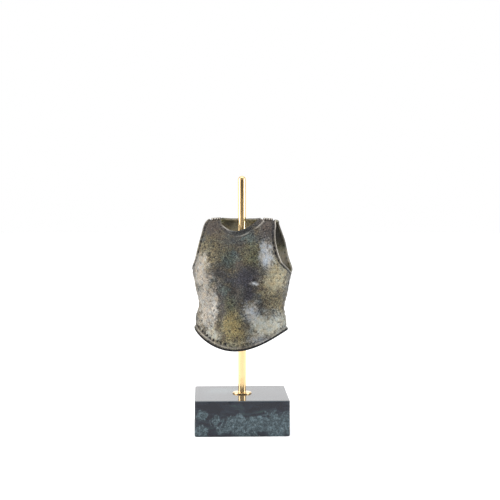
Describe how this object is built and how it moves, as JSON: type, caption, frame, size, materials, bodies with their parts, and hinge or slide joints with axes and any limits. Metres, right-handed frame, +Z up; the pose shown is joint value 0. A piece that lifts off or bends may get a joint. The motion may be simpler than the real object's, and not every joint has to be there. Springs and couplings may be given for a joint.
{
  "type": "muscle cuirass on display stand",
  "caption": "Miniature bronze muscle cuirass, breastplate and backplate hinged at the shoulders, on a brass rod and a marble block.",
  "frame": {"origin": "centre of the marble block's underside, where the piece stands on a shelf", "axes": "+Z up along the rod, -Y towards the viewer, +X to the viewer's right; the cuirass faces 17 degrees to the viewer's left of -Y"},
  "size_m": [0.0756, 0.07, 0.191],
  "materials": {
    "bronze_patina": "antiqued and pitted, mottled olive, brown and blue-grey",
    "polished_brass": "polished",
    "dark_marble": "polished, dark green with paler mottling"
  },
  "bodies": {
    "root": {"marble_base": "dark_marble", "rod_flange": "polished_brass", "stand_rod": "polished_brass", "hanger": "polished_brass", "breastplate": "bronze_patina", "backplate": "bronze_patina", "shoulder_hinge_right": "bronze_patina", "shoulder_hinge_left": "bronze_patina"}
  },
  "joints": []
}
